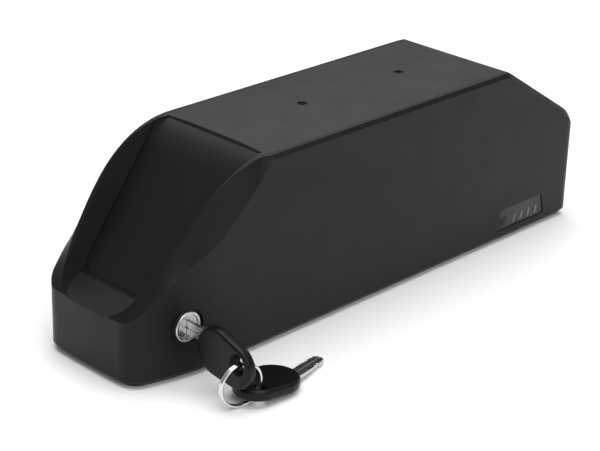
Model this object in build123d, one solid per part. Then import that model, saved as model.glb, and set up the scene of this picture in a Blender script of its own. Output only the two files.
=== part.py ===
from build123d import *
from math import atan2, cos, pi, radians, sin, sqrt, tan
import os

# A lockable battery pack with a sloped nose, for a bicycle's down tube.
# Frame: X runs from the nose (-X) to the tail (+X), -Y is the lock side, +Z is up.
# The origin is the middle of the casing's underside. Millimetres throughout.

# ---- casing ----
LENGTH = 366.0
WIDTH = 90.0
HEIGHT = 113.0
NOSE = -LENGTH / 2
TAIL = LENGTH / 2
WALL = 2.5
LIP_HEIGHT = 37.5
SHOULDER_X = NOSE + 65.0
SHOULDER_R = 73.0
TAIL_TOP_X = TAIL - 73.0
TAIL_TOP_R = 14.0
TAIL_DROP = 46.0
TAIL_R = 26.0
TAIL_LEAN = 3.0
TAIL_CORNER_R = 9.0
NOSE_TAPER_X = NOSE + 37.0
NOSE_HALF_WIDTH = 35.0
NOSE_CORNER_R = 13.0
NOSE_TAPER_R = 150.0
NOSE_BULGE = 1.5
NOSE_BULGE_R = 500.0
TOP_BEVEL = 3.2
FOOT_BEVEL = 4.5
CROWN = 1.2

# ---- recess in the nose and the cover that lies in it ----
PANEL_FOOT_X = NOSE + 18.0
PANEL_FOOT_Z = 43.5
PANEL_TOP_X = NOSE + 86.0
PANEL_TOP_R = 40.0
PANEL_FOOT_R = 2.5
PANEL_TOP_HALF = 38.7
PANEL_FOOT_HALF = 26.0
RECESS_DRAFT = 20.0
RECESS_CORNER_R = 18.0
RECESS_FOOT = 14.5
RECESS_SINK = 5.0
COVER_THICK = 2.5
COVER_LAND = 0.8
COVER_FOOT_R = 9.0
PANEL_TOP_LEAD = 14.0
LEDGE_THICK = 2.2
BRIDGE_HALF = 7.0
DIMPLE_DEPTH = 0.6
COVER_TAIL_X = TAIL - 17.0
COVER_GAP = 0.25
COVER_FOOT_GAP = 1.6
COVER_LEDGE = 3.0

# ---- base ----
BASE_THICK = 2.5
BASE_GAP = 0.2
FOOT_LAND = 1.5
BASE_LEDGE = 4.0
BASE_LEDGE_THICK = 3.0
GASKET_THICK = 0.8
CHANNEL_HALF = 20.0
CHANNEL_DEPTH = 9.0
CHANNEL_NOSE_X = NOSE + 23.0
CHANNEL_TAIL_X = TAIL - 35.0
CHANNEL_LIP = 3.0
CHANNEL_LIP_THICK = 2.0

# ---- screws ----
SCREW_R = 1.5
SCREW_HEAD_R = 2.8
SCREW_HEAD = 1.6
SCREW_FIT = 0.1
SPINE_SCREW_X = (NOSE + 160.0, NOSE + 242.0)
SPINE_SCREW_LENGTH = 9.0
BASE_SCREW_LENGTH = 9.0
BASE_SCREW_X = (NOSE + 55.0, NOSE + 127.0, NOSE + 199.0, TAIL - 91.0, TAIL - 21.0)
BASE_SCREW_Y = 34.5
SCREW_BOSS_R = 4.0

# ---- lock ----
LOCK_X = NOSE + 34.0
LOCK_Z = 31.0
LOCK_FACE_R = 8.5
LOCK_BARREL_R = 7.8
LOCK_PAD_R = 10.0
LOCK_PAD_Y = -42.9
LOCK_PAD_INNER_Y = -39.0
LOCK_PROUD = 1.2
LOCK_INNER_Y = -22.0
PLUG_R = 5.8
PLUG_FACE_R = 6.9
PLUG_FACE_THICK = 1.6
PLUG_FACE_SUNK = 0.6
RUNNING_FIT = 0.05
NUT_R = 9.5
NUT_THICK = 3.0
CAM_R = 7.0
CAM_THICK = 2.0
CRANK_R = 4.243
CRANK_PIN_R = 1.5
CRANK_PIN_LENGTH = 12.0
BOLT_X = 16.0
BOLT_Y = 8.0
BOLT_TOP = 35.5
BOLT_REST_Z = 1.5
BOLT_STROKE = 6.0
BOLT_Y_CENTRE = -12.0
BOLT_FIT = 0.3
CRANK_SLOT_FIT = 0.25
GUIDE_WALL = 3.0
GUIDE_TOP = 23.0

# ---- keys ----
BLADE_THICK = 2.0
BLADE_HEIGHT = 7.6
BLADE_TIP = -17.0
BLADE_TANG = 16.0
KEYWAY_FIT = 0.2
KEYWAY_END = 1.0
KEY_CUTS = ((3.5, 1.2), (6.2, 0.8), (8.9, 1.5), (11.6, 1.0))
HEAD_THICK = 6.4
HEAD_EDGE_R = 2.2
HEAD_A = (22.0, -5.5, 14.0)
HEAD_B = (35.5, -8.5, 12.5)
KEY_HOLE = (39.0, -5.5)
KEY_HOLE_LONG = 9.5
KEY_HOLE_WIDE = 7.4
KEY_HOLE_FLARE = 1.8
RING_R = 12.0
RING_WIRE_R = 0.8
RING_YAW = -12.0
RING_FLOOR_GAP = 0.15
SPARE_ANGLE = -33.0
SPARE_YAW = 14.0
SPARE_PITCH = 4.5

# ---- charge gauge ----
GAUGE_FOOT_Z = 8.3
GAUGE_TOP_Z = 21.5
GAUGE_NOSE_X = TAIL - 75.0
GAUGE_TAIL_X = TAIL - 28.0
GAUGE_SUNK = 0.6
GAUGE_THICK = 1.4
GAUGE_BAR_X = TAIL - 57.5
GAUGE_BAR_PITCH = 7.2
GAUGE_BAR_Z = 12.7
GAUGE_BAR_TALL = 5.4
GAUGE_BAR_WIDE = 1.9
GAUGE_SLANT = 14.0
BUTTON_X = TAIL - 68.8
BUTTON_Z = 12.7
BUTTON_WIDE = 6.4
BUTTON_TALL = 6.0
BUTTON_FIT = 0.3
BUTTON_TRAVEL = 0.8
MARK_WIDE = 0.7
MARK_LONG = 3.4
BOARD_THICK = 1.6
GAUGE_BOARD_Y = -39.4

# ---- cells ----
CELL_R = 9.15
CELL_LENGTH = 65.0
CELL_PITCH = 20.2
CELL_FIRST_X = NOSE + 59.5
CELL_FIRST_Z = 23.6
CELL_ROWS = ((0, 14), (0, 14), (1, 13), (2, 11))
CELLS_PER_GROUP = 4
HOLDER_DEEP = 10.0
HOLDER_FIT = 0.05
NICKEL_THICK = 0.2
NICKEL_WIDE = 8.0
SHEET_THICK = 1.0
FLOOR_PAD = 1.4

# ---- electronics ----
BMS_X = (NOSE + 168.0, NOSE + 234.0)
BMS_HALF = 29.0
BMS_Z = 98.5
TRANSISTOR = (10.0, 13.0, 4.4)
TRANSISTOR_COUNT = 5
BEAD_R = 1.6
SINK_THICK = 2.0
FUSE_X = TAIL - 15.0
FUSE_Z = 49.0
FUSE_WALL_X = TAIL - 2.7
PAD_X = (-90.0, 40.0)
PAD_LONG = 55.0

# ---- ports ----
PORT_X = TAIL - 53.0
PORT_Z = 24.0
PORT_FLANGE_R = 7.0
PORT_BARREL_R = 5.5
PORT_MOUTH_R = 3.25
PORT_DEPTH = 9.0
PORT_PIN_R = 1.0
CAP_R = 8.5
CAP_THICK = 1.8
CAP_GAP = 0.3
CONNECTOR_HALF = 14.0
CONNECTOR_HIGH = 7.0
CONNECTOR_LONG = 18.0
CONNECTOR_Z = 1.2
LEAD_R = 2.0
LEAD_INSET = 4.0
LEAD_Y = 8.0
CONTACT_COUNT = 5
CONTACT_PITCH = 5.0

HALF_L = TAIL
HALF_W = WIDTH / 2
CHANNEL_ROOF = CHANNEL_DEPTH + BASE_THICK
LEDGE_Z = BASE_THICK + GASKET_THICK
CAVITY_Z = LEDGE_Z + BASE_LEDGE_THICK
PANEL_ANGLE = atan2(HEIGHT - PANEL_FOOT_Z, PANEL_TOP_X - PANEL_FOOT_X)
REACH = 5.0

os.makedirs("parts", exist_ok=True)


def rounded(points, radii):
    """A closed outline whose corners are rounded one by one."""
    face = make_face(Polyline(*points, close=True))
    for point, radius in zip(points, radii):
        if radius > 0:
            corner = face.vertices().sort_by_distance((point[0], point[1], 0))[0]
            face = fillet(corner, radius)
    return face


def across(face, low, high):
    """Extrude an XZ outline along Y from low to high."""
    return extrude(Plane.XZ.offset(-low) * face, amount=low - high)


def upright(face, low, high):
    """Extrude an XY outline along Z from low to high."""
    return extrude(Plane.XY.offset(low) * face, amount=high - low)


def block(x, y, z):
    """A box between two limits on each axis."""
    size = (x[1] - x[0], y[1] - y[0], z[1] - z[0])
    middle = ((x[0] + x[1]) / 2, (y[0] + y[1]) / 2, (z[0] + z[1]) / 2)
    return Pos(*middle) * Box(*size)


def rod_y(radius, low, high, x, z):
    """A cylinder along Y."""
    return Pos(x, (low + high) / 2, z) * Rot(90, 0, 0) * Cylinder(radius, high - low)


def rod_z(radius, low, high, x, y):
    """A cylinder along Z."""
    return Pos(x, y, (low + high) / 2) * Cylinder(radius, high - low)


def rod_x(radius, low, high, y, z):
    """A cylinder along X."""
    return Pos((low + high) / 2, y, z) * Rot(0, 90, 0) * Cylinder(radius, high - low)


def save(name, shape):
    """Write one node."""
    export_step(shape, f"parts/{name}.step")
    print(name, round(shape.volume / 1000, 2), "cm3")


# ---- outlines of the casing ----

def side_outline():
    """The casing's outline from the lock side; the front runs past the nose."""
    slope = (HEIGHT - LIP_HEIGHT) / (SHOULDER_X + HALF_L)
    front = -HALF_L - REACH
    points = [
        (front, -1),
        (front, LIP_HEIGHT - REACH * slope),
        (SHOULDER_X, HEIGHT),
        (TAIL_TOP_X, HEIGHT),
        (HALF_L, HEIGHT - TAIL_DROP),
        (HALF_L, CAVITY_Z + 36),
        (HALF_L - TAIL_LEAN, -1),
    ]
    return rounded(points, [0, 0, SHOULDER_R, TAIL_TOP_R, TAIL_R, 60, 0])


def plan_outline():
    """The casing's outline from above."""
    nose = -HALF_L + NOSE_BULGE
    points = [
        (-HALF_L, 0),
        (nose, -NOSE_HALF_WIDTH),
        (NOSE_TAPER_X, -HALF_W),
        (HALF_L, -HALF_W),
        (HALF_L, HALF_W),
        (NOSE_TAPER_X, HALF_W),
        (nose, NOSE_HALF_WIDTH),
    ]
    radii = [NOSE_BULGE_R, NOSE_CORNER_R, NOSE_TAPER_R, TAIL_CORNER_R]
    return rounded(points, radii + radii[:0:-1])


def centre_outline():
    """The outline along the centre line, with the sunk panel in the nose."""
    points = [
        (-HALF_L - REACH, -1),
        (-HALF_L - REACH, LIP_HEIGHT - 2.2),
        (PANEL_FOOT_X, PANEL_FOOT_Z),
        (PANEL_TOP_X, HEIGHT),
        (TAIL_TOP_X, HEIGHT),
        (HALF_L, HEIGHT - TAIL_DROP),
        (HALF_L, -1),
    ]
    return rounded(points, [0, 0, PANEL_FOOT_R, PANEL_TOP_R, TAIL_TOP_R, TAIL_R, 0])


def shoulder_height(x):
    """Height of the rails above the underside at x, along the nose."""
    slope = atan2(HEIGHT - LIP_HEIGHT, SHOULDER_X + HALF_L)
    start = SHOULDER_X + SHOULDER_R * tan(slope / 2)
    end = SHOULDER_X - SHOULDER_R * tan(slope / 2) * cos(slope)
    if x > start:
        return HEIGHT
    if x > end:
        return HEIGHT - SHOULDER_R + sqrt(SHOULDER_R**2 - (start - x) ** 2)
    return LIP_HEIGHT + (x + HALF_L) * tan(slope)


# Light facet beside the nose: distance behind the nose, height of its lower
# edge on the side, and half-width of the crest at its upper edge.
FACET = (
    (103.0, 112.0, 43.5),
    (83.0, 99.0, 41.3),
    (67.0, 83.0, 40.9),
    (50.0, 70.0, 39.8),
    (33.0, 57.5, 37.8),
    (22.0, 50.0, 34.8),
    (15.0, 45.5, 31.8),
    (9.5, 42.0, 28.6),
    (4.0, 38.5, 23.6),
    (0.0, 36.5, 13.5),
    (-3.0, 35.0, 3.0),
)


def facet_cutter(side, inset=0.0):
    """What is cut away outside the facet, lofted through sections across X."""
    sections = []
    for behind, edge_z, crest_y in FACET:
        x = NOSE + behind
        edge = Vector(0, HALF_W - inset, edge_z - inset)
        crest = Vector(0, crest_y - inset, shoulder_height(x) - inset)
        away = (edge - crest).normalized()
        low = edge + away * 6
        high = crest - away * 12
        corners = [low, high, Vector(0, HALF_W + 14, high.Z + 10)]
        points = [(x, side * p.Y, p.Z) for p in corners]
        sections.append(make_face(Polyline(*points, close=True)))
    return loft(sections)


def casing_form():
    """The outside of the whole casing before the recess is sunk."""
    prism = across(side_outline(), -HALF_W, HALF_W)
    rims = [e for e in prism.edges() if abs(abs(e.center().Y) - HALF_W) < 0.01]
    rims = [e for e in rims if e.center().Z > -0.5 and e.center().X > -HALF_L - REACH + 0.1]
    prism = chamfer(rims, TOP_BEVEL)
    plan = upright(plan_outline(), 0, HEIGHT + REACH)
    plan = chamfer(plan.faces().sort_by(Axis.Z)[0].edges(), FOOT_BEVEL)
    arc = ThreePointArc((-HALF_W, HEIGHT - CROWN), (0, HEIGHT), (HALF_W, HEIGHT - CROWN))
    rest = Polyline((HALF_W, HEIGHT - CROWN), (HALF_W, -1), (-HALF_W, -1), (-HALF_W, HEIGHT - CROWN))
    crown = extrude(Plane.YZ * make_face([arc, rest]), amount=HALF_L + REACH, both=True)
    form = prism & plan & crown
    for side in (-1, 1):
        form -= facet_cutter(side)
    return form


def panel_plane(sink=0.0):
    """The sunk panel's plane: x runs down the nose, z points out of it."""
    down = Vector(-cos(PANEL_ANGLE), 0, -sin(PANEL_ANGLE))
    out = Vector(-sin(PANEL_ANGLE), 0, cos(PANEL_ANGLE))
    origin = Vector(PANEL_FOOT_X, 0, PANEL_FOOT_Z) - out * sink
    return Plane(origin=origin, x_dir=down, z_dir=out)


def panel_half(s):
    """Half-width of the sunk panel at a distance s down from its foot."""
    run = (PANEL_TOP_X - PANEL_FOOT_X) / cos(PANEL_ANGLE)
    return PANEL_FOOT_HALF - s * (PANEL_TOP_HALF - PANEL_FOOT_HALF) / run


def recess_cutter():
    """The drafted hollow above the sunk panel."""
    shrink = RECESS_SINK * tan(radians(RECESS_DRAFT))
    top = (PANEL_FOOT_X - PANEL_TOP_X) / cos(PANEL_ANGLE) - 45
    foot_half = panel_half(RECESS_FOOT) - shrink
    top_half = panel_half(top) - shrink
    points = [
        (RECESS_FOOT - shrink, -foot_half),
        (RECESS_FOOT - shrink, foot_half),
        (top, top_half),
        (top, -top_half),
    ]
    corner = RECESS_CORNER_R - shrink
    outline = rounded(points, [corner, corner, 0, 0])
    hollow = extrude(panel_plane(RECESS_SINK) * outline, amount=32, taper=-RECESS_DRAFT)
    return hollow - across(centre_outline(), -HALF_W - REACH, HALF_W + REACH)


# ---- casing pieces ----

def cover_outline(grow=0.0):
    """The spine cover seen from above."""
    top_half = HALF_W - TOP_BEVEL - COVER_LAND
    foot_x = PANEL_FOOT_X + COVER_FOOT_GAP
    points = [
        (foot_x, -PANEL_FOOT_HALF),
        (PANEL_TOP_X, -PANEL_TOP_HALF),
        (PANEL_TOP_X + PANEL_TOP_LEAD, -top_half),
        (COVER_TAIL_X, -top_half),
        (COVER_TAIL_X, top_half),
        (PANEL_TOP_X + PANEL_TOP_LEAD, top_half),
        (PANEL_TOP_X, PANEL_TOP_HALF),
        (foot_x, PANEL_FOOT_HALF),
    ]
    outline = rounded(points, [COVER_FOOT_R, 60, 60, 4, 4, 60, 60, COVER_FOOT_R])
    return offset(outline, grow) if grow else outline


def above_outline(depth):
    """Everything above the centre outline sunk by a depth."""
    sky = Pos(0, LIP_HEIGHT + HEIGHT) * Rectangle(2 * LENGTH, 2 * HEIGHT)
    return across(sky - offset(centre_outline(), -depth), -HALF_W, HALF_W)


def plan_solid(grow, low, high):
    """The casing's plan outline, grown or shrunk, between two heights."""
    return upright(offset(plan_outline(), grow), low, high)


def base_screw_places():
    """Where the base plate is screwed on."""
    return [(x, side * BASE_SCREW_Y) for x in BASE_SCREW_X for side in (-1, 1)]


def cavity():
    """The room inside the housing."""
    room = across(offset(side_outline(), -WALL), -HALF_W + WALL, HALF_W - WALL)
    room &= plan_solid(-WALL, CAVITY_Z, HEIGHT)
    for side in (-1, 1):
        room -= facet_cutter(side, WALL * 1.4)
    under_cover = block((-LENGTH, COVER_TAIL_X + WALL), (-HALF_W, HALF_W), (0, 2 * HEIGHT))
    return room - (above_outline(COVER_THICK + LEDGE_THICK) & under_cover)


def gauge_outline(grow=0.0):
    """The gauge panel seen from the lock side."""
    slant = (GAUGE_TOP_Z - GAUGE_FOOT_Z) * tan(radians(GAUGE_SLANT))
    points = [
        (GAUGE_NOSE_X, GAUGE_FOOT_Z),
        (GAUGE_TAIL_X, GAUGE_FOOT_Z),
        (GAUGE_TAIL_X - slant, GAUGE_TOP_Z),
        (GAUGE_NOSE_X + slant, GAUGE_TOP_Z),
    ]
    outline = rounded(points, [1.5, 1.5, 1.5, 1.5])
    return offset(outline, grow) if grow else outline


def slanted(x, z, wide, tall, corner=0.5):
    """A leaning four-sided outline about a centre."""
    lean = tall * tan(radians(GAUGE_SLANT)) / 2
    points = [
        (x - wide / 2 - lean, z - tall / 2),
        (x + wide / 2 - lean, z - tall / 2),
        (x + wide / 2 + lean, z + tall / 2),
        (x - wide / 2 + lean, z + tall / 2),
    ]
    return rounded(points, [corner] * 4)


def make_housing(shaped):
    """Sides, nose and tail in one moulding, open above and below."""
    housing = shaped - cavity()
    housing -= upright(cover_outline(COVER_GAP), 0, HEIGHT + REACH) & above_outline(COVER_THICK)
    opening = upright(cover_outline(-COVER_LEDGE), CAVITY_Z, HEIGHT + REACH)
    for x in SPINE_SCREW_X:
        opening -= block((x - BRIDGE_HALF, x + BRIDGE_HALF), (-HALF_W, HALF_W), (0, HEIGHT + REACH))
    housing -= opening
    foot = FOOT_BEVEL + FOOT_LAND
    housing -= plan_solid(-foot, -1, LEDGE_Z)
    housing -= plan_solid(-foot - BASE_LEDGE, 0, CAVITY_Z + 1)
    for x in SPINE_SCREW_X:
        top = HEIGHT - COVER_THICK
        boss = rod_z(SCREW_BOSS_R, top - SPINE_SCREW_LENGTH, top - LEDGE_THICK + 1, x, 0)
        housing += boss
        housing -= rod_z(SCREW_R, top - SPINE_SCREW_LENGTH - 1, HEIGHT + 1, x, 0)
    for x, y in base_screw_places():
        housing += rod_z(SCREW_BOSS_R, LEDGE_Z, LEDGE_Z + BASE_SCREW_LENGTH, x, y)
        housing -= rod_z(SCREW_R, 0, LEDGE_Z + BASE_SCREW_LENGTH - 1, x, y)
    housing += rod_y(LOCK_PAD_R, LOCK_PAD_Y, LOCK_PAD_INNER_Y, LOCK_X, LOCK_Z)
    housing -= rod_y(LOCK_PAD_R, -HALF_W - 1, LOCK_PAD_Y, LOCK_X, LOCK_Z)
    housing -= rod_y(LOCK_BARREL_R + SCREW_FIT, -HALF_W - 1, 0, LOCK_X, LOCK_Z)
    housing -= across(gauge_outline(COVER_GAP), -HALF_W - 1, -HALF_W + GAUGE_SUNK + GAUGE_THICK)
    housing -= across(gauge_outline(-1.2), -HALF_W - 1, -HALF_W + WALL + 1)
    housing -= rod_y(PORT_FLANGE_R + SCREW_FIT, HALF_W - 1, HALF_W + 1, PORT_X, PORT_Z)
    housing -= rod_y(PORT_BARREL_R + SCREW_FIT, HALF_W - WALL - 1, HALF_W + 1, PORT_X, PORT_Z)
    return housing


def make_spine_cover(shaped):
    """Top panel that runs down into the nose and over the tail slope."""
    cover = shaped & upright(cover_outline(), 0, HEIGHT + REACH) & above_outline(COVER_THICK)
    for x in SPINE_SCREW_X:
        cover -= rod_z(SCREW_R + SCREW_FIT, 0, HEIGHT + 1, x, 0)
        sunk = HEIGHT - SCREW_HEAD - DIMPLE_DEPTH
        cover -= rod_z(SCREW_HEAD_R + SCREW_FIT, sunk, HEIGHT + 1, x, 0)
    return cover


def make_base_plate():
    """Floor with the channel that slides onto a dock."""
    plate = plan_solid(-FOOT_BEVEL - FOOT_LAND - BASE_GAP, 0, BASE_THICK)
    wide = CHANNEL_HALF + BASE_THICK
    plate += block(
        (CHANNEL_NOSE_X - BASE_THICK, CHANNEL_TAIL_X + CONNECTOR_LONG + 2 * BASE_THICK),
        (-wide, wide),
        (0, CHANNEL_ROOF),
    )
    span = (CHANNEL_NOSE_X, CHANNEL_TAIL_X)
    plate -= block(span, (-CHANNEL_HALF, CHANNEL_HALF), (CHANNEL_LIP_THICK, CHANNEL_DEPTH))
    mouth = CHANNEL_HALF - CHANNEL_LIP
    plate -= block(span, (-mouth, mouth), (-1, CHANNEL_LIP_THICK + 1))
    bay = CONNECTOR_HALF + COVER_GAP
    plate -= block(
        (CHANNEL_TAIL_X - 1, CHANNEL_TAIL_X + CONNECTOR_LONG + COVER_GAP),
        (-bay, bay),
        (CONNECTOR_Z - COVER_GAP, CONNECTOR_Z + CONNECTOR_HIGH + COVER_GAP),
    )
    for side in (-1, 1):
        x = CHANNEL_TAIL_X + CONNECTOR_LONG - LEAD_INSET
        plate -= rod_z(LEAD_R + 0.4, CONNECTOR_Z + 2, CHANNEL_ROOF + 1, x, side * LEAD_Y)
    gap_x = BOLT_X / 2 + BOLT_FIT
    gap_y = BOLT_Y / 2 + BOLT_FIT
    plate -= block(
        (LOCK_X - gap_x, LOCK_X + gap_x),
        (BOLT_Y_CENTRE - gap_y, BOLT_Y_CENTRE + gap_y),
        (CHANNEL_DEPTH - 1, CHANNEL_ROOF + 1),
    )
    for x, y in base_screw_places():
        plate -= rod_z(SCREW_R + SCREW_FIT, -1, BASE_THICK + 1, x, y)
        plate -= rod_z(SCREW_HEAD_R + SCREW_FIT, -1, SCREW_HEAD + SCREW_FIT, x, y)
    return plate


def make_base_gasket():
    """Flat seal between the base plate and the housing's ledge."""
    foot = FOOT_BEVEL + FOOT_LAND + BASE_GAP
    gasket = plan_solid(-foot, BASE_THICK, LEDGE_Z) - plan_solid(-foot - BASE_LEDGE, 0, HEIGHT)
    for x, y in base_screw_places():
        gasket -= rod_z(SCREW_BOSS_R + SCREW_FIT, 0, HEIGHT, x, y)
    return gasket


def screw(length):
    """A pan-head screw that points down, its head's top at the origin."""
    shank = Pos(0, 0, -SCREW_HEAD - length / 2) * Cylinder(SCREW_R, length)
    head = Pos(0, 0, -SCREW_HEAD / 2) * Cylinder(SCREW_HEAD_R, SCREW_HEAD)
    head = fillet(head.edges().group_by(Axis.Z)[-1], 0.5)
    for angle in (0, 90):
        head -= Rot(0, 0, angle) * Pos(0, 0, -0.4) * Box(3.2, 0.7, 0.9)
    return head + shank


def make_spine_screws():
    """The two screws in the dimples on the top."""
    pieces = []
    for x in SPINE_SCREW_X:
        pieces.append(Pos(x, 0, HEIGHT - DIMPLE_DEPTH) * screw(SPINE_SCREW_LENGTH))
    return Compound(children=pieces)


def make_base_screws():
    """The screws that hold the base plate."""
    pieces = []
    for x, y in base_screw_places():
        pieces.append(Pos(x, y, SCREW_FIT) * Rot(180, 0, 0) * screw(BASE_SCREW_LENGTH))
    return Compound(children=pieces)


# ---- lock and keys ----

LOCK_FACE_Y = LOCK_PAD_Y - LOCK_PROUD


def make_lock_body():
    """Plated face ring and barrel."""
    body = rod_y(LOCK_FACE_R, LOCK_FACE_Y, LOCK_PAD_Y, LOCK_X, LOCK_Z)
    body = fillet(body.edges().sort_by(Axis.Y)[0], 0.6)
    body += rod_y(LOCK_BARREL_R, LOCK_PAD_Y, LOCK_INNER_Y, LOCK_X, LOCK_Z)
    body -= rod_y(PLUG_R + RUNNING_FIT, LOCK_FACE_Y - 1, LOCK_INNER_Y + 1, LOCK_X, LOCK_Z)
    deep = LOCK_FACE_Y + PLUG_FACE_SUNK + PLUG_FACE_THICK + RUNNING_FIT
    body -= rod_y(PLUG_FACE_R + RUNNING_FIT, LOCK_FACE_Y - 1, deep, LOCK_X, LOCK_Z)
    return body


def make_lock_nut():
    """Hexagonal nut behind the wall."""
    near = LOCK_PAD_INNER_Y
    nut = across(RegularPolygon(NUT_R, 6, rotation=30), near, near + NUT_THICK)
    nut = Pos(LOCK_X, 0, LOCK_Z) * nut
    return nut - rod_y(LOCK_BARREL_R, -HALF_W, 0, LOCK_X, LOCK_Z)


def make_lock_plug():
    """The part of the lock that the key turns."""
    front = LOCK_FACE_Y + PLUG_FACE_SUNK
    plug = rod_y(PLUG_FACE_R, front, front + PLUG_FACE_THICK, LOCK_X, LOCK_Z)
    plug = fillet(plug.edges().sort_by(Axis.Y)[0], 0.3)
    plug += rod_y(PLUG_R, front + PLUG_FACE_THICK, LOCK_INNER_Y, LOCK_X, LOCK_Z)
    half_x = BLADE_THICK / 2 + KEYWAY_FIT
    half_z = BLADE_HEIGHT / 2 + KEYWAY_FIT
    deep = LOCK_FACE_Y - BLADE_TIP + KEYWAY_END
    plug -= block((LOCK_X - half_x, LOCK_X + half_x), (-HALF_W, deep), (LOCK_Z - half_z, LOCK_Z + half_z))
    return plug - rod_y(SCREW_R, LOCK_INNER_Y - 3, LOCK_INNER_Y + 1, LOCK_X, LOCK_Z)


def make_lock_cam():
    """Disc with a crank pin that lifts the bolt."""
    cam = rod_y(CAM_R, LOCK_INNER_Y, LOCK_INNER_Y + CAM_THICK, LOCK_X, LOCK_Z)
    reach = CRANK_R * cos(radians(45))
    start = LOCK_INNER_Y + CAM_THICK
    cam += rod_y(CRANK_PIN_R, start, start + CRANK_PIN_LENGTH, LOCK_X + reach, LOCK_Z - reach)
    return cam - rod_y(SCREW_R + SCREW_FIT, LOCK_INNER_Y - 1, 0, LOCK_X, LOCK_Z)


def make_cam_screw():
    """Short screw that holds the cam on the plug."""
    start = LOCK_INNER_Y + CAM_THICK
    head = rod_y(2.2, start, start + 1.0, LOCK_X, LOCK_Z)
    return head + rod_y(SCREW_R, LOCK_INNER_Y - 3, start, LOCK_X, LOCK_Z)


def make_lock_bolt():
    """Bolt that drops into the dock, with a slot for the crank pin."""
    bolt = block(
        (LOCK_X - BOLT_X / 2, LOCK_X + BOLT_X / 2),
        (BOLT_Y_CENTRE - BOLT_Y / 2, BOLT_Y_CENTRE + BOLT_Y / 2),
        (BOLT_REST_Z, BOLT_TOP),
    )
    foot_edges = bolt.faces().sort_by(Axis.Z)[0].edges()
    bolt = chamfer(foot_edges, 0.8)
    near = CRANK_R * cos(radians(45))
    slot_z = LOCK_Z - near
    half = CRANK_PIN_R + CRANK_SLOT_FIT
    bolt -= block(
        (LOCK_X + near - half - 0.6, LOCK_X + CRANK_R + half),
        (BOLT_Y_CENTRE - BOLT_Y, BOLT_Y_CENTRE + BOLT_Y),
        (slot_z - half, slot_z + half),
    )
    return bolt


def make_bolt_guide():
    """Sleeve on the channel's roof that keeps the bolt upright."""
    gap_x = BOLT_X / 2 + BOLT_FIT
    gap_y = BOLT_Y / 2 + BOLT_FIT
    low = CHANNEL_ROOF
    guide = block(
        (LOCK_X - gap_x - GUIDE_WALL, LOCK_X + gap_x + GUIDE_WALL),
        (BOLT_Y_CENTRE - gap_y - GUIDE_WALL, BOLT_Y_CENTRE + gap_y + GUIDE_WALL),
        (low, GUIDE_TOP),
    )
    guide -= block(
        (LOCK_X - gap_x, LOCK_X + gap_x),
        (BOLT_Y_CENTRE - gap_y, BOLT_Y_CENTRE + gap_y),
        (low - 1, GUIDE_TOP + 1),
    )
    return guide


def key_head_outline():
    """Egg-shaped outline of the moulded head: the hull of two circles."""
    circles = []
    for u, v, r in (HEAD_A, HEAD_B):
        circles += (Pos(u, v) * Circle(r)).edges()
    return make_hull(circles)


def key_head():
    """Moulded head, thickness about its middle plane, with a flared hole."""
    head = extrude(key_head_outline(), amount=HEAD_THICK / 2, both=True)
    rims = [e for e in head.edges() if abs(e.center().Z) > HEAD_THICK / 2 - 0.01]
    head = fillet(rims, HEAD_EDGE_R)
    slot = SlotOverall(KEY_HOLE_LONG, KEY_HOLE_WIDE, rotation=90)
    hole = Pos(*KEY_HOLE) * slot
    head -= extrude(hole, amount=HEAD_THICK, both=True)
    for side in (-1, 1):
        face_z = side * (HEAD_THICK / 2 - KEY_HOLE_FLARE)
        base = Plane(origin=(0, 0, face_z), z_dir=(0, 0, side))
        mouth = Pos(KEY_HOLE[0], side * KEY_HOLE[1]) * slot
        head -= extrude(base * mouth, amount=KEY_HOLE_FLARE + 1, taper=-40)
    half = BLADE_THICK / 2
    return head - block((0, BLADE_TANG), (-BLADE_HEIGHT / 2, BLADE_HEIGHT / 2), (-half, half))


def key_blade():
    """Steel blade with cuts on both edges."""
    half = BLADE_HEIGHT / 2
    outline = Polyline(
        (BLADE_TIP, -1.2), (BLADE_TIP + 2.6, -half), (BLADE_TANG, -half),
        (BLADE_TANG, half), (BLADE_TIP + 2.6, half), (BLADE_TIP, 1.2), close=True,
    )
    blade = extrude(make_face(outline), amount=BLADE_THICK / 2, both=True)
    for side in (-1, 1):
        for place, depth in KEY_CUTS:
            cutter = Pos(BLADE_TIP + place, side * (half + 1.2 - depth)) * Rot(0, 0, 45)
            blade -= cutter * Box(1.7, 1.7, BLADE_THICK * 2)
        groove = block((BLADE_TIP - 1, BLADE_TANG - 8), (-0.6, 0.6), (0.55, 2))
        blade -= Rot(180 if side < 0 else 0, 0, 0) * groove
    return blade


def lock_key_place():
    """Key coordinates for the key in the lock: x out of the lock, y up."""
    return Plane(origin=(LOCK_X, -HALF_W, LOCK_Z), x_dir=(0, -1, 0), z_dir=(-1, 0, 0))


def ring_centre():
    """Middle of the key ring, which stands on the floor under the key's hole."""
    hole = lock_key_place().from_local_coords(Vector(KEY_HOLE[0], KEY_HOLE[1], 0))
    return Vector(hole.X, hole.Y, RING_R + RING_WIRE_R + RING_FLOOR_GAP)


def make_key_ring():
    """Split ring of two turns, upright, turned a little about Z."""
    wires = Pos(RING_R, RING_WIRE_R * 0.9) * Circle(RING_WIRE_R)
    wires += Pos(RING_R, -RING_WIRE_R * 0.9) * Circle(RING_WIRE_R)
    ring = revolve(Plane.XY * wires, axis=Axis.Y)
    centre = ring_centre()
    return Pos(centre.X, centre.Y, centre.Z) * Rot(0, 0, RING_YAW) * ring


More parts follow.
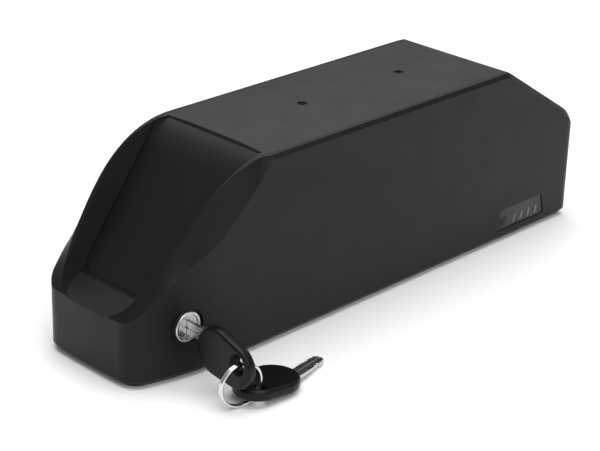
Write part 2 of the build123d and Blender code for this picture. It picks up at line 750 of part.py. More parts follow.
def spare_key_place():
    """Key coordinates for the spare key that lies on the floor on the ring."""
    yaw = radians(RING_YAW)
    angle = radians(SPARE_ANGLE)
    along = Vector(cos(yaw), sin(yaw), 0) * (RING_R * cos(angle))
    hole = ring_centre() + along + Vector(0, 0, RING_R * sin(angle))
    turn = radians(SPARE_YAW)
    pitch = radians(SPARE_PITCH)
    out = Vector(-cos(turn) * cos(pitch), -sin(turn) * cos(pitch), sin(pitch))
    side = Vector(sin(turn), -cos(turn), 0)
    up = out.cross(side)
    origin = hole - out * KEY_HOLE[0] - side * KEY_HOLE[1]
    return Plane(origin=origin, x_dir=out, z_dir=up)


# ---- charge gauge ----

def bar_places():
    """The middles of the four light bars."""
    return [GAUGE_BAR_X + GAUGE_BAR_PITCH * i for i in range(4)]


def make_gauge_panel():
    """Dark insert in the side wall."""
    near = -HALF_W + GAUGE_SUNK
    panel = across(gauge_outline(), near, near + GAUGE_THICK)
    for x in bar_places():
        panel -= across(slanted(x, GAUGE_BAR_Z, GAUGE_BAR_WIDE, GAUGE_BAR_TALL), near - 1, near + 3)
    wide = BUTTON_WIDE + 2 * BUTTON_FIT
    tall = BUTTON_TALL + 2 * BUTTON_FIT
    return panel - across(slanted(BUTTON_X, BUTTON_Z, wide, tall), near - 1, near + 3)


def make_gauge_bars():
    """Four slanted light windows."""
    near = -HALF_W + GAUGE_SUNK
    bars = []
    for x in bar_places():
        bar = slanted(x, GAUGE_BAR_Z, GAUGE_BAR_WIDE, GAUGE_BAR_TALL)
        bars.append(across(bar, near - 0.1, near + GAUGE_THICK + 0.4))
    return Compound(children=bars)


def make_test_button():
    """Button with a plain angular mark."""
    near = -HALF_W + 0.3
    button = across(slanted(BUTTON_X, BUTTON_Z, BUTTON_WIDE, BUTTON_TALL), near, near + 3.6)
    mark = Pos(BUTTON_X - 1.2, BUTTON_Z) * Rectangle(MARK_WIDE, MARK_LONG)
    mark += Pos(BUTTON_X, BUTTON_Z + 1.35) * Rectangle(MARK_LONG, MARK_WIDE)
    button += block((BUTTON_X + 2, BUTTON_X + 5), (near + 2.4, near + 3.4), (BUTTON_Z - 2, BUTTON_Z + 2))
    return button - across(mark, near - 1, near + 0.4)


def make_button_switch():
    """Small switch behind the button."""
    return block((BUTTON_X - 2.5, BUTTON_X + 2.5), (GAUGE_BOARD_Y - 0.5, GAUGE_BOARD_Y), (BUTTON_Z - 2.5, BUTTON_Z + 2.5))


def make_gauge_board():
    """Circuit board behind the panel."""
    return block((GAUGE_NOSE_X - 2, GAUGE_TAIL_X), (GAUGE_BOARD_Y, GAUGE_BOARD_Y + BOARD_THICK), (8.4, 20.5))


def make_gauge_leds():
    """One light behind each bar."""
    pieces = []
    for x in bar_places():
        low = -HALF_W + GAUGE_SUNK + GAUGE_THICK + 0.6
        pieces.append(block((x - 1.6, x + 1.6), (low, GAUGE_BOARD_Y), (GAUGE_BAR_Z - 1.4, GAUGE_BAR_Z + 1.4)))
    return Compound(children=pieces)


# ---- cells ----

def cell_grid():
    """Columns and rows of the cells, up one column and down the next."""
    grid = []
    columns = max(first + count for first, count in CELL_ROWS)
    for column in range(columns):
        rows = [i for i, (first, count) in enumerate(CELL_ROWS) if first <= column < first + count]
        if column % 2:
            rows.reverse()
        grid += [(column, row) for row in rows]
    return grid


def cell_centre(place):
    """Middle of the cell in a column and row, seen from the side."""
    return CELL_FIRST_X + place[0] * CELL_PITCH, CELL_FIRST_Z + place[1] * CELL_PITCH


def make_cells():
    """The cylindrical cells, each with its crimp groove and cap."""
    half = CELL_LENGTH / 2
    profile = Polyline(
        (0, -half), (CELL_R, -half), (CELL_R, half - 3.4), (CELL_R - 0.5, half - 3.0),
        (CELL_R - 0.5, half - 2.4), (CELL_R, half - 2.0), (CELL_R, half - 0.9),
        (CELL_R - 4.0, half - 0.9), (CELL_R - 4.4, half), (0, half), close=True,
    )
    cell = revolve(Plane.XZ * make_face(profile), axis=Axis.Z)
    cells = []
    for i, place in enumerate(cell_grid()):
        x, z = cell_centre(place)
        flip = -90 if (i // CELLS_PER_GROUP) % 2 else 90
        cells.append(Pos(x, 0, z) * Rot(flip, 0, 0) * cell)
    return Compound(children=cells)


def pack_outline(places, size):
    """Squares about the cells, joined where cells are neighbours."""
    outline = Sketch()
    step = CELL_PITCH / 2
    for column, row in places:
        x, z = cell_centre((column, row))
        outline += Pos(x, z) * Rectangle(size, size)
        if (column + 1, row) in places:
            outline += Pos(x + step, z) * Rectangle(CELL_PITCH, size)
        if (column, row + 1) in places:
            outline += Pos(x, z + step) * Rectangle(size, CELL_PITCH)
    return outline


def make_cell_holder(side):
    """Rack that holds the ends of the cells on one side."""
    outline = pack_outline(cell_grid(), CELL_PITCH)
    for place in cell_grid():
        outline -= Pos(*cell_centre(place)) * Circle(CELL_R + HOLDER_FIT)
    outer = side * CELL_LENGTH / 2
    inner = outer - side * HOLDER_DEEP
    return across(outline, min(outer, inner), max(outer, inner))


def make_nickel(side):
    """Strips that join each group of cells to the next on one side."""
    places = cell_grid()
    count = len(places) // CELLS_PER_GROUP
    groups = [places[i * CELLS_PER_GROUP:(i + 1) * CELLS_PER_GROUP] for i in range(count)]
    if side < 0:
        pairs = [groups[0]] + [groups[i] + groups[i + 1] for i in range(1, count - 1, 2)]
    else:
        pairs = [groups[i] + groups[i + 1] for i in range(0, count - 1, 2)] + [groups[-1]]
    low = CELL_LENGTH / 2
    strips = []
    for pair in pairs:
        outline = pack_outline(pair, NICKEL_WIDE)
        near, far = sorted((side * low, side * (low + NICKEL_THICK)))
        strips += across(outline, near, far).solids()
    return Compound(children=strips)


def make_insulation(side):
    """Sheet over the nickel strips on one side."""
    near = CELL_LENGTH / 2 + NICKEL_THICK
    near, far = sorted((side * near, side * (near + SHEET_THICK)))
    return across(pack_outline(cell_grid(), CELL_PITCH - 1), near, far)


def make_foam_pads():
    """Pads that wedge the cells between the walls."""
    inner = CELL_LENGTH / 2 + NICKEL_THICK + SHEET_THICK
    outer = HALF_W - WALL
    pads = []
    for side in (-1, 1):
        for x in PAD_X:
            y = sorted((side * inner, side * outer))
            pads.append(block((x, x + PAD_LONG), y, (32, 78)))
    return Compound(children=pads)


def make_floor_pad():
    """Pad between the channel's roof and the cells."""
    return block((NOSE + 65, TAIL - 49), (-18, 18), (CHANNEL_ROOF, CELL_FIRST_Z - CELL_PITCH / 2))


# ---- electronics ----

CELLS_TOP = CELL_FIRST_Z + (len(CELL_ROWS) - 0.5) * CELL_PITCH
THERMISTOR_Z = CELLS_TOP - CELL_PITCH / 2 + CELL_R + BEAD_R
BMS_TOP = BMS_Z + BOARD_THICK


def make_bms_board():
    """Protection circuit board over the cells."""
    board = block(BMS_X, (-BMS_HALF, BMS_HALF), (BMS_Z, BMS_TOP))
    for x, y in standoff_places():
        board -= rod_z(SCREW_R, 0, HEIGHT, x, y)
    return board


def standoff_places():
    """The board's four corners."""
    return [(x, y) for x in (BMS_X[0] + 4, BMS_X[1] - 4) for y in (-BMS_HALF + 4, BMS_HALF - 4)]


def make_bms_standoffs():
    """Pillars that carry the board."""
    pillars = []
    for x, y in standoff_places():
        pillar = rod_z(2.6, CELLS_TOP, BMS_Z, x, y) + rod_z(SCREW_R, BMS_Z, BMS_TOP + 1.2, x, y)
        pillars.append(pillar)
    return Compound(children=pillars)


def make_bms_transistors():
    """Row of power transistors."""
    wide, deep, high = TRANSISTOR
    pieces = []
    for i in range(TRANSISTOR_COUNT):
        x = BMS_X[0] + 6 + i * (wide + 1)
        pieces.append(block((x, x + wide), (-BMS_HALF + 10, -BMS_HALF + 10 + deep), (BMS_TOP, BMS_TOP + high)))
    return Compound(children=pieces)


def make_bms_heat_sink():
    """Aluminium bar on the transistors."""
    low = BMS_TOP + TRANSISTOR[2]
    bar = block((BMS_X[0] + 5, BMS_X[1] - 5), (-BMS_HALF + 9, -BMS_HALF + 24), (low, low + SINK_THICK))
    for i in range(4):
        y = -BMS_HALF + 11.5 + i * 3.3
        bar -= block((BMS_X[0], BMS_X[1]), (y, y + 1.2), (low + 1, low + 3))
    return bar


def make_balance_connector():
    """White multi-pin connector."""
    x = (BMS_X[0] + 10, BMS_X[0] + 44)
    return block(x, (BMS_HALF - 9, BMS_HALF - 2), (BMS_TOP, BMS_TOP + 6))


def make_fuse_holder():
    """Holder on the tail wall."""
    holder = block((FUSE_X, FUSE_WALL_X), (-12, 12), (FUSE_Z - 6, FUSE_Z + 6))
    return holder - block((FUSE_X - 1, FUSE_X + 7), (-9.8, 9.8), (FUSE_Z - 2.8, FUSE_Z + 2.8))


def make_fuse():
    """Blade fuse."""
    body = block((FUSE_X - 6, FUSE_X + 1), (-9.5, 9.5), (FUSE_Z - 2.5, FUSE_Z + 2.5))
    for side in (-1, 1):
        body += block((FUSE_X + 1, FUSE_X + 6), (side * 7 - 2, side * 7 + 2), (FUSE_Z - 0.4, FUSE_Z + 0.4))
    return body


def make_thermistor():
    """Temperature bead on the cells."""
    return rod_x(BEAD_R, -44, -38, 10, THERMISTOR_Z)


# ---- ports ----

def make_discharge_connector():
    """Socket block at the tail end of the channel."""
    x = (CHANNEL_TAIL_X, CHANNEL_TAIL_X + CONNECTOR_LONG)
    body = block(x, (-CONNECTOR_HALF, CONNECTOR_HALF), (CONNECTOR_Z, CONNECTOR_Z + CONNECTOR_HIGH))
    middle = CONNECTOR_Z + CONNECTOR_HIGH / 2
    for y in contact_places():
        body -= block((x[0] - 1, x[0] + 11), (y - 1.3, y + 1.3), (middle - 2.6, middle + 2.6))
    for side in (-1, 1):
        lead_x = x[1] - LEAD_INSET
        body -= rod_z(LEAD_R + 0.2, middle, CONNECTOR_Z + CONNECTOR_HIGH + 1, lead_x, side * LEAD_Y)
    return body


def contact_places():
    """Middles of the blade contacts."""
    return [CONTACT_PITCH * (i - (CONTACT_COUNT - 1) / 2) for i in range(CONTACT_COUNT)]


def make_discharge_contacts():
    """Paired spring leaves in each slot of the socket."""
    middle = CONNECTOR_Z + CONNECTOR_HIGH / 2
    leaves = []
    for y in contact_places():
        for side in (-1, 1):
            leaf = block((CHANNEL_TAIL_X + 1, CHANNEL_TAIL_X + 11), sorted((y + side * 0.9, y + side * 1.3)), (middle - 2, middle + 2))
            leaves.append(leaf)
    return Compound(children=leaves)


def make_charge_port():
    """Charging socket in the far wall."""
    port = rod_y(PORT_FLANGE_R, HALF_W - 1, HALF_W, PORT_X, PORT_Z)
    port += rod_y(PORT_BARREL_R, HALF_W - PORT_DEPTH - 0.8, HALF_W, PORT_X, PORT_Z)
    return port - rod_y(PORT_MOUTH_R, HALF_W - PORT_DEPTH, HALF_W + 1, PORT_X, PORT_Z)


def make_charge_port_pin():
    """Centre pin of the charging socket."""
    return rod_y(PORT_PIN_R, HALF_W - PORT_DEPTH, HALF_W - 1, PORT_X, PORT_Z)


def make_charge_port_nut():
    """Nut behind the far wall."""
    nut = across(RegularPolygon(PORT_BARREL_R + 3, 6), HALF_W - WALL - 3, HALF_W - WALL)
    nut = Pos(PORT_X, 0, PORT_Z) * nut
    return nut - rod_y(PORT_BARREL_R, 0, HALF_W, PORT_X, PORT_Z)


def make_charge_port_cap():
    """Rubber cap that swings up from the socket."""
    low = HALF_W + CAP_GAP
    cap = rod_y(CAP_R, low, low + CAP_THICK, PORT_X, PORT_Z)
    cap += block((PORT_X - 3, PORT_X + 3), (low, low + CAP_THICK), (PORT_Z, PORT_Z + CAP_R + 3))
    cap = fillet(cap.edges().group_by(Axis.Y)[-1], 0.6)
    grip = rod_x(0.9, PORT_X - 3.5, PORT_X + 3.5, low + CAP_THICK, PORT_Z - CAP_R + 2.2)
    return cap + grip


def make_cap_strap():
    """Fixed end of the cap's rubber strap."""
    low = HALF_W + CAP_GAP
    z = PORT_Z + CAP_R + 3 + CAP_GAP
    strap = block((PORT_X - 3, PORT_X + 3), (HALF_W, low + CAP_THICK), (z, z + 4.5))
    return fillet(strap.edges().group_by(Axis.Y)[-1], 0.5)


def cable(name, points, diameter):
    """A round cable along straight runs joined by arcs as large as the runs allow."""
    path_points = [Vector(*p) for p in points]
    arcs = []
    for before, corner, after in zip(path_points, path_points[1:], path_points[2:]):
        first = corner - before
        second = after - corner
        turn = radians(first.get_angle(second))
        arcs.append(0.45 * min(first.length, second.length) / tan(turn / 2))
    path = FilletPolyline(*path_points, radius=arcs)
    section = Plane(origin=path @ 0, z_dir=path % 0) * Circle(diameter / 2)
    swept = sweep(section, path=path)
    exact = path.length * pi * diameter**2 / 4
    print(name, "radii", [round(r, 1) for r in arcs], "length", round(path.length, 1))
    print(name, "volume over section times length", round(swept.volume / exact, 4))
    return swept


LEAD_X = CHANNEL_TAIL_X + CONNECTOR_LONG - LEAD_INSET
LEAD_FOOT = CONNECTOR_Z + CONNECTOR_HIGH / 2 + 0.5
SIDE_GAP_Y = 37.3

# Cables: the points each one runs through and its diameter.
CABLES = {
    "discharge_lead_negative": (
        [
            (BMS_X[1] - 4, -8, BMS_TOP + LEAD_R + 0.1), (80, -9, BMS_TOP + LEAD_R + 0.1),
            (114, -13, 101.5), (137, -14, 87.5), (156, -15, 70), (160, -15, 46),
            (LEAD_X, -LEAD_Y, 22), (LEAD_X, -LEAD_Y, LEAD_FOOT),
        ],
        2 * LEAD_R,
    ),
    "discharge_lead_positive": (
        [
            (FUSE_X + 6, 6, FUSE_Z - 6), (FUSE_X + 6, 6, 32),
            (LEAD_X, LEAD_Y, 19), (LEAD_X, LEAD_Y, LEAD_FOOT),
        ],
        2 * LEAD_R,
    ),
    "pack_lead_negative": (
        [
            (-103.3, -SIDE_GAP_Y, 52), (-103.3, -SIDE_GAP_Y, 82), (-62, -36, 99),
            (-30, -22, BMS_TOP + LEAD_R + 0.1), (BMS_X[0] + 2, -20, BMS_TOP + LEAD_R + 0.1),
        ],
        2 * LEAD_R,
    ),
    "charge_lead": (
        [
            (PORT_X + PORT_BARREL_R + 0.1, SIDE_GAP_Y, PORT_Z), (147, SIDE_GAP_Y, PORT_Z + 1),
            (151, SIDE_GAP_Y, 50), (140, SIDE_GAP_Y, 83), (112, 36, 97),
            (66, 22, 101.7), (BMS_X[1] - 3, 18, 101.7),
        ],
        3.0,
    ),
    "gauge_lead": (
        [
            (111, -SIDE_GAP_Y + 0.6, 14), (112, -SIDE_GAP_Y + 0.6, 58),
            (106, -SIDE_GAP_Y + 0.6, 92), (88, -34, 100), (62, -22, 101.3), (BMS_X[1] - 3, -20.6, 101.3),
        ],
        2.0,
    ),
    "balance_harness": (
        [(12, BMS_HALF - 2, 103), (12, 34, 103), (12, 38, 90), (12, 38, 36)],
        5.0,
    ),
    "thermistor_lead": (
        [
            (-38, 10, THERMISTOR_Z), (-29, 10, THERMISTOR_Z),
            (-20, 10, BMS_TOP + 1), (BMS_X[0] + 3, 10, BMS_TOP + 1),
        ],
        1.4,
    ),
}


# ---- build every node ----

shaped = casing_form() - recess_cutter()
save("housing", make_housing(shaped))
save("spine_cover", make_spine_cover(shaped))
save("base_plate", make_base_plate())
save("base_gasket", make_base_gasket())
save("spine_screws", make_spine_screws())
save("base_screws", make_base_screws())

save("lock_body", make_lock_body())
save("lock_nut", make_lock_nut())
save("lock_plug", make_lock_plug())
save("lock_cam", make_lock_cam())
save("cam_screw", make_cam_screw())
save("lock_bolt", make_lock_bolt())
save("bolt_guide", make_bolt_guide())
save("key_head", lock_key_place() * key_head())
save("key_blade", lock_key_place() * key_blade())
save("key_ring", make_key_ring())
save("spare_key_head", spare_key_place() * key_head())
save("spare_key_blade", spare_key_place() * key_blade())

save("gauge_panel", make_gauge_panel())
save("gauge_bars", make_gauge_bars())
save("test_button", make_test_button())
save("button_switch", make_button_switch())
save("gauge_board", make_gauge_board())
save("gauge_leds", make_gauge_leds())

save("battery_cells", make_cells())
for name, side in (("left", -1), ("right", 1)):
    save(f"cell_holder_{name}", make_cell_holder(side))
    save(f"nickel_strips_{name}", make_nickel(side))
    save(f"insulation_sheet_{name}", make_insulation(side))
save("foam_pads", make_foam_pads())
save("floor_pad", make_floor_pad())

save("bms_board", make_bms_board())
save("bms_standoffs", make_bms_standoffs())
save("bms_transistors", make_bms_transistors())
save("bms_heat_sink", make_bms_heat_sink())
save("balance_connector", make_balance_connector())
save("fuse_holder", make_fuse_holder())
save("fuse", make_fuse())
save("thermistor", make_thermistor())

save("discharge_connector", make_discharge_connector())
save("discharge_contacts", make_discharge_contacts())
save("charge_port", make_charge_port())
save("charge_port_pin", make_charge_port_pin())
save("charge_port_nut", make_charge_port_nut())
save("charge_port_cap", make_charge_port_cap())
save("cap_strap", make_cap_strap())
for name, (points, diameter) in CABLES.items():
    save(name, cable(name, points, diameter))
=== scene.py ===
import math

import bmesh
import bpy
from mathutils import Matrix, Vector

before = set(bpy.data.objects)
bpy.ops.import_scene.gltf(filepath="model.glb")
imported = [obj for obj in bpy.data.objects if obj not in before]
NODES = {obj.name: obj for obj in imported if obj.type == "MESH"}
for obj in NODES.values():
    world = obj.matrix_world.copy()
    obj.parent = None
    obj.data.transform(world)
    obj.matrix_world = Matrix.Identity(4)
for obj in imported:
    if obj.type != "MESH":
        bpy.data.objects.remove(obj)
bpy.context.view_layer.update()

bl_info = {
    "name": "Battery pack with lock and keys",
    "version": (1, 0, 0),
    "blender": (4, 5, 0),
    "location": "View3D > Sidebar > Battery pack",
    "description": "Gives the packed battery pack its materials, stage and camera",
    "category": "Object",
}

MM = 0.001

PLASTIC_IOR = 1.54
PLASTIC_SHEEN = 0.18
NOISE_SPREAD = (0.3, 0.7)
MOTTLE_SPREAD = (0.35, 0.65)
SENSOR_MM = 36
CAMERA_SHIFT_MM = (14.4, -27.4, 1073.3)
CAMERA_CLIP = (0.01, 100)
WORLD_STRENGTH = 0.36

# Each soft box: place and aim in metres, width, height, watts.
SOFT_BOXES = {
    "key": ((-0.4, -1.5, 1.1), (0, 0, 0.05), 1.4, 1.0, 9),
    "overhead": ((0, 0, 1.8), (0, 0, 0), 1.8, 1.8, 30),
    "rim": ((1.0, 1.4, 1.3), (0, 0, 0.05), 2.0, 1.0, 6),
}


# ---- small helpers ----

def linear(code):
    """An sRGB hex colour as linear RGBA."""
    channels = [int(code[i:i + 2], 16) / 255 for i in (0, 2, 4)]
    return [c / 12.92 if c <= 0.04045 else ((c + 0.055) / 1.055) ** 2.4 for c in channels] + [1.0]


def add_node(tree, kind, links=None, **settings):
    """Add a shader node, set its inputs or attributes, and link its inputs."""
    node = tree.nodes.new(kind)
    for key, value in settings.items():
        if hasattr(node, key):
            setattr(node, key, value)
        else:
            node.inputs[key.replace("_", " ")].default_value = value
    for key, source in (links or {}).items():
        socket = node.inputs[key] if isinstance(key, int) else node.inputs[key.replace("_", " ")]
        tree.links.new(source, socket)
    return node


def new_material(name, colour, roughness, metallic=0.0, ior=None):
    """A material with a Principled shader on Object coordinates."""
    material = bpy.data.materials.new(name)
    material.use_nodes = True
    tree = material.node_tree
    shader = tree.nodes["Principled BSDF"]
    shader.inputs["Base Color"].default_value = linear(colour)
    shader.inputs["Roughness"].default_value = roughness
    shader.inputs["Metallic"].default_value = metallic
    if ior:
        shader.inputs["IOR"].default_value = ior
    coords = add_node(tree, "ShaderNodeTexCoord")
    return material, tree, shader, coords.outputs["Object"]


def grain(tree, shader, place, size_mm, depth_mm):
    """Fine moulded or cast grain as bump, size_mm across."""
    noise = add_node(tree, "ShaderNodeTexNoise", {"Vector": place}, Scale=1 / (size_mm * MM), Detail=2.0)
    height = {"Height": noise.outputs["Fac"]}
    bump = add_node(tree, "ShaderNodeBump", height, Strength=1.0, Distance=depth_mm * MM)
    tree.links.new(bump.outputs["Normal"], shader.inputs["Normal"])


def vary(tree, shader, place, socket, low, high, size_mm):
    """Let a value wander between low and high over size_mm."""
    noise = add_node(tree, "ShaderNodeTexNoise", {"Vector": place}, Scale=1 / (size_mm * MM), Detail=3.0)
    spread = add_node(
        tree, "ShaderNodeMapRange", {"Value": noise.outputs["Fac"]},
        From_Min=NOISE_SPREAD[0], From_Max=NOISE_SPREAD[1], To_Min=low, To_Max=high,
    )
    tree.links.new(spread.outputs["Result"], shader.inputs[socket])


def mottle(tree, shader, place, first, second, size_mm):
    """Blend two close colours in soft patches size_mm across."""
    noise = add_node(tree, "ShaderNodeTexNoise", {"Vector": place}, Scale=1 / (size_mm * MM), Detail=3.0)
    ramp = add_node(tree, "ShaderNodeValToRGB", {"Fac": noise.outputs["Fac"]})
    ramp.color_ramp.elements[0].position = MOTTLE_SPREAD[0]
    ramp.color_ramp.elements[0].color = linear(first)
    ramp.color_ramp.elements[1].position = MOTTLE_SPREAD[1]
    ramp.color_ramp.elements[1].color = linear(second)
    tree.links.new(ramp.outputs["Color"], shader.inputs["Base Color"])


def paint(material, *names):
    """Give CAD nodes a material."""
    for name in names:
        node = NODES[name]
        node.data.materials.clear()
        node.data.materials.append(material)


# ---- materials ----

def moulded_abs_pc():
    """Injection-moulded ABS/PC: near black, a fine satin spark-eroded grain with a broad soft sheen."""
    material, tree, shader, place = new_material("moulded_black_abs_pc", "17181A", 0.42, ior=PLASTIC_IOR)
    mottle(tree, shader, place, "0F1012", "121316", 60)
    shader.inputs["Specular IOR Level"].default_value = PLASTIC_SHEEN
    vary(tree, shader, place, "Roughness", 0.38, 0.46, 18)
    grain(tree, shader, place, 0.9, 0.01)
    return material


def cover_abs_pc():
    """The cover's moulding: the same plastic from a tool with a slightly finer, smoother grain."""
    material, tree, shader, place = new_material("moulded_satin_cover_abs_pc", "17181A", 0.36, ior=PLASTIC_IOR)
    mottle(tree, shader, place, "0F1012", "131416", 70)
    shader.inputs["Specular IOR Level"].default_value = PLASTIC_SHEEN
    vary(tree, shader, place, "Roughness", 0.32, 0.4, 22)
    grain(tree, shader, place, 0.8, 0.006)
    return material


def textured_base_abs():
    """Base moulding with a coarser tool texture that hides scuffs from the dock."""
    material, tree, shader, place = new_material("textured_base_abs", "17181A", 0.5, ior=PLASTIC_IOR)
    mottle(tree, shader, place, "0E0F11", "141517", 12)
    shader.inputs["Specular IOR Level"].default_value = PLASTIC_SHEEN
    grain(tree, shader, place, 1.2, 0.03)
    return material


def key_head_abs():
    """Injection-moulded key head: smooth black ABS polished by fingers."""
    material, tree, shader, place = new_material("moulded_key_head_abs", "0F0F11", 0.34, ior=PLASTIC_IOR)
    shader.inputs["Specular IOR Level"].default_value = PLASTIC_SHEEN
    vary(tree, shader, place, "Roughness", 0.26, 0.42, 6)
    grain(tree, shader, place, 0.7, 0.005)
    return material


def plated_zinc():
    """Nickel-plated die-cast zinc: bright and smooth, with a faint haze."""
    material, tree, shader, place = new_material("nickel_plated_zinc", "D2D3D6", 0.24, metallic=1.0)
    vary(tree, shader, place, "Roughness", 0.2, 0.34, 2.5)
    grain(tree, shader, place, 0.35, 0.004)
    return material


def polished_spring_steel():
    """Split ring of nickel-plated spring steel, polished bright, slightly duller in patches."""
    material, tree, shader, place = new_material("polished_spring_steel", "DCDDE0", 0.12, metallic=1.0)
    vary(tree, shader, place, "Roughness", 0.08, 0.22, 1.5)
    return material


def milled_key_steel():
    """Nickel-plated key blank: a satin metal with a fine grain."""
    material, tree, shader, place = new_material("milled_key_steel", "C6C5C0", 0.28, metallic=1.0)
    vary(tree, shader, place, "Roughness", 0.22, 0.4, 1.2)
    grain(tree, shader, place, 0.4, 0.006)
    return material


def machined_steel(name="machined_steel", colour="B4B6BA", roughness=0.34):
    """Turned or stamped steel with a fine grain."""
    material, tree, shader, place = new_material(name, colour, roughness, metallic=1.0)
    vary(tree, shader, place, "Roughness", roughness - 0.06, roughness + 0.1, 2.0)
    grain(tree, shader, place, 0.5, 0.004)
    return material


def smoked_polycarbonate():
    """Translucent smoked polycarbonate light windows, unlit: smooth and grey."""
    material, tree, shader, place = new_material("smoked_polycarbonate", "5C5E63", 0.2, ior=1.58)
    shader.inputs["Transmission Weight"].default_value = 0.15
    mottle(tree, shader, place, "56585D", "63656A", 2)
    return material


def silicone(name, colour):
    """Moulded silicone rubber: matte, with a light grain."""
    material, tree, shader, place = new_material(name, colour, 0.6, ior=1.42)
    vary(tree, shader, place, "Roughness", 0.52, 0.7, 4)
    grain(tree, shader, place, 0.5, 0.006)
    return material


def plain_plastic(name, colour, roughness=0.45):
    """Moulded plastic of the inner parts: even, with a light grain."""
    material, tree, shader, place = new_material(name, colour, roughness, ior=1.5)
    vary(tree, shader, place, "Roughness", roughness - 0.06, roughness + 0.08, 8)
    grain(tree, shader, place, 0.8, 0.006)
    return material


def rolled_nickel():
    """Rolled nickel strip: warm grey metal with a soft sheen."""
    material, tree, shader, place = new_material("rolled_nickel", "B8B4AA", 0.32, metallic=1.0)
    vary(tree, shader, place, "Roughness", 0.26, 0.42, 5)
    return material


def brass():
    """Machined brass: yellow metal whose sheen changes softly."""
    material, tree, shader, place = new_material("machined_brass", "C8A25A", 0.3, metallic=1.0)
    vary(tree, shader, place, "Roughness", 0.24, 0.4, 2)
    return material


def closed_cell_foam():
    """Closed-cell foam: matte black with a coarse grain about a millimetre across."""
    material, tree, shader, place = new_material("closed_cell_foam", "26272A", 0.85)
    grain(tree, shader, place, 1.2, 0.2)
    return material


def fish_paper():
    """Vulcanised fibre insulation sheet: pale buff, softly mottled."""
    material, tree, shader, place = new_material("vulcanised_fibre", "C9C4A6", 0.7)
    mottle(tree, shader, place, "C2BD9E", "D0CBAE", 3)
    grain(tree, shader, place, 0.8, 0.01)
    return material


def solder_mask():
    """Glass-epoxy circuit board under green solder mask: glossy, in two close greens."""
    material, tree, shader, place = new_material("solder_mask", "14532E", 0.28, ior=1.52)
    mottle(tree, shader, place, "124C2A", "175A33", 5)
    return material


class PackMaterialsSettings(bpy.types.PropertyGroup):
    """Sizes and colours of the stage that a user may change."""

    floor_colour: bpy.props.StringProperty(
        name="Floor colour", description="sRGB hex colour of the floor", default="FFFFFF")
    floor_size: bpy.props.FloatProperty(
        name="Floor size", description="Width of the floor", default=12.0, unit="LENGTH")
    lens_mm: bpy.props.FloatProperty(
        name="Lens", description="Lens in millimetres on the 36 mm sensor", default=106.92)
    azimuth: bpy.props.FloatProperty(
        name="Azimuth", description="Camera azimuth", default=math.radians(-45.92), subtype="ANGLE")
    elevation: bpy.props.FloatProperty(
        name="Elevation", description="Camera elevation", default=math.radians(24.13), subtype="ANGLE")
    roll: bpy.props.FloatProperty(
        name="Roll", description="Camera roll", default=math.radians(1.65), subtype="ANGLE")


class BATTERYPACK_OT_casing(bpy.types.Operator):
    """Finish the housing, cover, base and screws"""

    bl_idname = "batterypack.casing"
    bl_label = "Casing"

    def execute(self, context):
        paint(moulded_abs_pc(), "housing")
        paint(cover_abs_pc(), "spine_cover")
        paint(textured_base_abs(), "base_plate")
        paint(silicone("gasket_silicone", "1C1C1E"), "base_gasket")
        paint(machined_steel("black_oxide_steel", "2A2B2E", 0.4), "spine_screws", "base_screws")
        return {"FINISHED"}


class BATTERYPACK_OT_lock(bpy.types.Operator):
    """Finish the lock, the keys, their ring and the other brass and steel fittings"""

    bl_idname = "batterypack.lock"
    bl_label = "Lock and keys"

    def execute(self, context):
        paint(plated_zinc(), "lock_body", "lock_plug")
        paint(brass(), "lock_nut", "charge_port_nut", "charge_port_pin", "discharge_contacts")
        paint(machined_steel(), "lock_cam", "cam_screw", "lock_bolt", "bms_standoffs", "button_switch")
        paint(key_head_abs(), "key_head", "spare_key_head")
        paint(milled_key_steel(), "key_blade", "spare_key_blade")
        paint(polished_spring_steel(), "key_ring")
        paint(plain_plastic("guide_acetal", "202124"), "bolt_guide")
        return {"FINISHED"}


class BATTERYPACK_OT_gauge(bpy.types.Operator):
    """Finish the charge gauge and its button"""

    bl_idname = "batterypack.gauge"
    bl_label = "Charge gauge"

    def execute(self, context):
        paint(plain_plastic("gauge_panel_abs", "1A1B1D", 0.4), "gauge_panel")
        paint(smoked_polycarbonate(), "gauge_bars")
        paint(silicone("button_silicone", "242527"), "test_button")
        paint(solder_mask(), "gauge_board", "bms_board")
        paint(plain_plastic("clear_epoxy", "D8D8C4", 0.2), "gauge_leds")
        return {"FINISHED"}


class BATTERYPACK_OT_inside(bpy.types.Operator):
    """Finish the cells, the electronics and the cables inside"""

    bl_idname = "batterypack.inside"
    bl_label = "Inside"

    def execute(self, context):
        paint(plain_plastic("shrink_sleeve_pvc", "2F6F96", 0.3), "battery_cells")
        paint(plain_plastic("holder_abs", "2A2B2D"), "cell_holder_left", "cell_holder_right", "bms_transistors")
        paint(rolled_nickel(), "nickel_strips_left", "nickel_strips_right")
        paint(fish_paper(), "insulation_sheet_left", "insulation_sheet_right")
        paint(closed_cell_foam(), "foam_pads", "floor_pad")
        paint(machined_steel("extruded_aluminium", "D0D1D4", 0.3), "bms_heat_sink")
        paint(plain_plastic("connector_nylon", "DEDCD2"), "balance_connector")
        paint(plain_plastic("black_nylon", "1E1F21"), "fuse_holder", "discharge_connector", "thermistor")
        paint(plain_plastic("fuse_polycarbonate", "C2622A", 0.25), "fuse")
        paint(silicone("red_silicone_sheath", "A52A22"), "discharge_lead_positive", "charge_lead")
        paint(silicone("black_silicone_sheath", "1B1B1D"), "discharge_lead_negative", "pack_lead_negative")
        paint(silicone("white_silicone_sheath", "D9D8D2"), "gauge_lead", "balance_harness", "thermistor_lead")
        return {"FINISHED"}


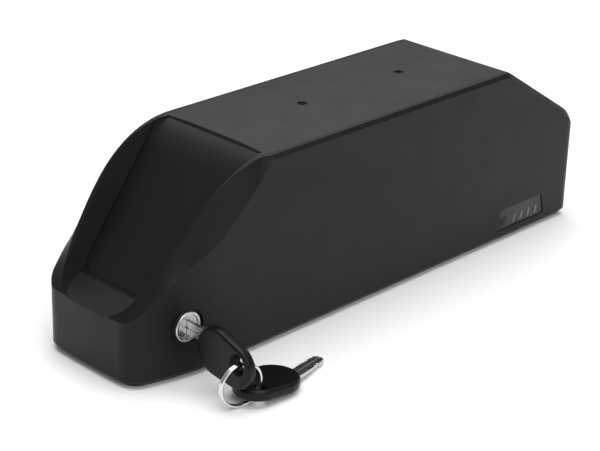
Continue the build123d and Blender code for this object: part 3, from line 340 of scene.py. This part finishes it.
class BATTERYPACK_OT_port(bpy.types.Operator):
    """Finish the charge port and its cap"""

    bl_idname = "batterypack.port"
    bl_label = "Charge port"

    def execute(self, context):
        paint(plain_plastic("port_nylon", "17181A", 0.35), "charge_port")
        paint(silicone("cap_silicone", "1D1E20"), "charge_port_cap", "cap_strap")
        return {"FINISHED"}


def area_light(name, place, aim, wide, tall, watts):
    """A white soft box that points at aim."""
    data = bpy.data.lights.new(name, "AREA")
    data.shape = "RECTANGLE"
    data.size = wide
    data.size_y = tall
    data.energy = watts
    light = bpy.data.objects.new(name, data)
    light.location = place
    light.rotation_euler = (Vector(aim) - Vector(place)).to_track_quat("-Z", "Y").to_euler()
    bpy.context.collection.objects.link(light)


class BATTERYPACK_OT_stage(bpy.types.Operator):
    """Make the floor, the lights and the camera"""

    bl_idname = "batterypack.stage"
    bl_label = "Stage"

    def execute(self, context):
        settings = context.scene.battery_pack
        bm = bmesh.new()
        bmesh.ops.create_grid(bm, x_segments=1, y_segments=1, size=settings.floor_size / 2)
        mesh = bpy.data.meshes.new("floor")
        bm.to_mesh(mesh)
        bm.free()
        floor = bpy.data.objects.new("floor", mesh)
        context.collection.objects.link(floor)
        mesh.materials.append(new_material("pale_paper_sweep", settings.floor_colour, 0.9)[0])

        world = bpy.data.worlds.new("studio")
        world.use_nodes = True
        background = world.node_tree.nodes["Background"]
        background.inputs["Color"].default_value = linear("FFFFFF")
        background.inputs["Strength"].default_value = WORLD_STRENGTH
        context.scene.world = world
        for name, soft_box in SOFT_BOXES.items():
            area_light(name, *soft_box)

        a, e, r = settings.azimuth, settings.elevation, settings.roll
        back = Vector((math.sin(a) * math.cos(e), -math.cos(a) * math.cos(e), math.sin(e)))
        right = Vector((math.cos(a), math.sin(a), 0))
        up = back.cross(right)
        across = right * math.cos(r) + up * math.sin(r)
        top = up * math.cos(r) - right * math.sin(r)
        shift = Vector(CAMERA_SHIFT_MM) * MM
        data = bpy.data.cameras.new("camera")
        data.sensor_width = SENSOR_MM
        data.lens = settings.lens_mm
        data.clip_start, data.clip_end = CAMERA_CLIP
        camera = bpy.data.objects.new("camera", data)
        rotation = Matrix((across, top, back)).transposed()
        stand = back * shift.z - across * shift.x - top * shift.y
        camera.matrix_world = Matrix.Translation(stand) @ rotation.to_4x4()
        context.collection.objects.link(camera)
        context.scene.camera = camera
        context.scene.view_settings.view_transform = "Standard"
        return {"FINISHED"}


class BATTERYPACK_PT_panel(bpy.types.Panel):
    """Lists the steps that finish the battery pack"""

    bl_idname = "BATTERYPACK_PT_panel"
    bl_label = "Battery pack"
    bl_space_type = "VIEW_3D"
    bl_region_type = "UI"
    bl_category = "Battery pack"

    def draw(self, context):
        for name in PackMaterialsSettings.__annotations__:
            self.layout.prop(context.scene.battery_pack, name)
        for operator in OPERATORS:
            self.layout.operator(operator.bl_idname)


OPERATORS = (
    BATTERYPACK_OT_casing, BATTERYPACK_OT_lock, BATTERYPACK_OT_gauge,
    BATTERYPACK_OT_inside, BATTERYPACK_OT_port, BATTERYPACK_OT_stage,
)
CLASSES = (PackMaterialsSettings,) + OPERATORS + (BATTERYPACK_PT_panel,)


def register():
    """Register the classes and the settings."""
    for cls in CLASSES:
        bpy.utils.register_class(cls)
    bpy.types.Scene.battery_pack = bpy.props.PointerProperty(type=PackMaterialsSettings)


def unregister():
    """Remove the settings and the classes."""
    del bpy.types.Scene.battery_pack
    for cls in reversed(CLASSES):
        bpy.utils.unregister_class(cls)


def main():
    """Finish every piece."""
    register()
    bpy.ops.batterypack.casing()
    bpy.ops.batterypack.lock()
    bpy.ops.batterypack.gauge()
    bpy.ops.batterypack.inside()
    bpy.ops.batterypack.port()
    bpy.ops.batterypack.stage()


if __name__ == "__main__":
    main()
